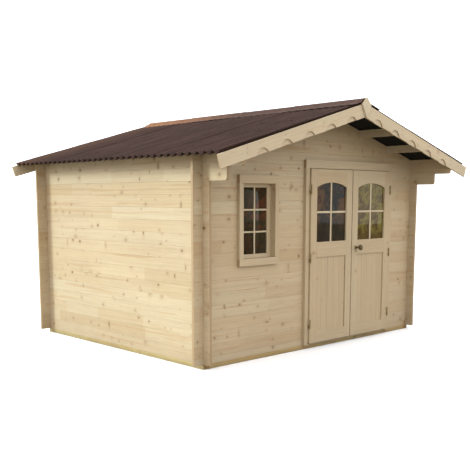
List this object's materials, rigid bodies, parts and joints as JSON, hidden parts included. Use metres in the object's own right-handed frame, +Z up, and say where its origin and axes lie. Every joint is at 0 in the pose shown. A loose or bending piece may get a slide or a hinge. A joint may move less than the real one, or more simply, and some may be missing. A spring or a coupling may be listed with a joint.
{
  "type": "garden shed",
  "caption": "Log garden shed with crossed corners, a glazed double door, a small-paned window and a corrugated gable roof over a front overhang.",
  "frame": {"origin": "middle of the shed's footprint, roof overhangs included, on the ground", "axes": "+X to the right of someone facing the doors, the doors face -Y, +Z up"},
  "size_m": [3.854, 3.528, 2.523],
  "materials": {
    "spruce": "planed unpainted spruce",
    "treated_timber": "pressure treated softwood",
    "bitumen_sheet": "brown bitumen fibre sheet",
    "clear_glass": "clear float glass",
    "bronzed_steel": "bronzed steel",
    "dark_metal": "dark metal"
  },
  "bodies": {
    "shed": {"back_gable_logs": "spruce", "back_left_bargeboard": "spruce", "back_ridge_plate": "spruce", "back_right_bargeboard": "spruce", "back_wall_logs": "spruce", "door_head": "spruce", "door_jambs": "spruce", "door_sill": "spruce", "door_stops": "spruce", "end_bearers": "treated_timber", "floor": "spruce", "floor_joists": "treated_timber", "frame_hinge_halves": "bronzed_steel", "front_gable_logs": "spruce", "front_left_bargeboard": "spruce", "front_ridge_plate": "spruce", "front_right_bargeboard": "spruce", "front_wall_left_logs": "spruce", "front_wall_right_logs": "spruce", "left_roof_sheet": "bitumen_sheet", "left_wall_logs": "spruce", "purlins": "spruce", "ridge_cap": "bitumen_sheet", "right_roof_sheet": "bitumen_sheet", "right_wall_logs": "spruce", "side_bearers": "treated_timber", "window_glass": "clear_glass", "window_glazing_bars": "spruce", "window_head_and_sill": "spruce", "window_jambs": "spruce", "window_sash": "spruce"},
    "left_leaf": {"left_leaf_glass": "clear_glass", "left_leaf_glazing_bars": "spruce", "left_leaf_hinge_halves": "bronzed_steel", "left_leaf_panel": "spruce", "left_leaf_rails": "spruce", "left_leaf_stiles": "spruce"},
    "right_leaf": {"right_leaf_glass": "clear_glass", "right_leaf_glazing_bars": "spruce", "right_leaf_hinge_halves": "bronzed_steel", "right_leaf_panel": "spruce", "right_leaf_rails": "spruce", "right_leaf_stiles": "spruce", "knob_plates": "dark_metal"},
    "knob": {"door_knob": "dark_metal"}
  },
  "joints": [
    {"name": "left_leaf_hinge", "type": "hinge", "parent": "shed", "child": "left_leaf", "pos_m": [-0.2215, -1.268, 0.95], "axis": [0, 0, -1], "range_deg": [0, 175]},
    {"name": "right_leaf_hinge", "type": "hinge", "parent": "shed", "child": "right_leaf", "pos_m": [1.1325, -1.268, 0.95], "axis": [0, 0, 1], "range_deg": [0, 135]},
    {"name": "knob_turn", "type": "hinge", "parent": "right_leaf", "child": "knob", "pos_m": [0.5315, -1.259, 1.03], "axis": [0, -1, 0], "range_deg": [-50, 50]}
  ]
}
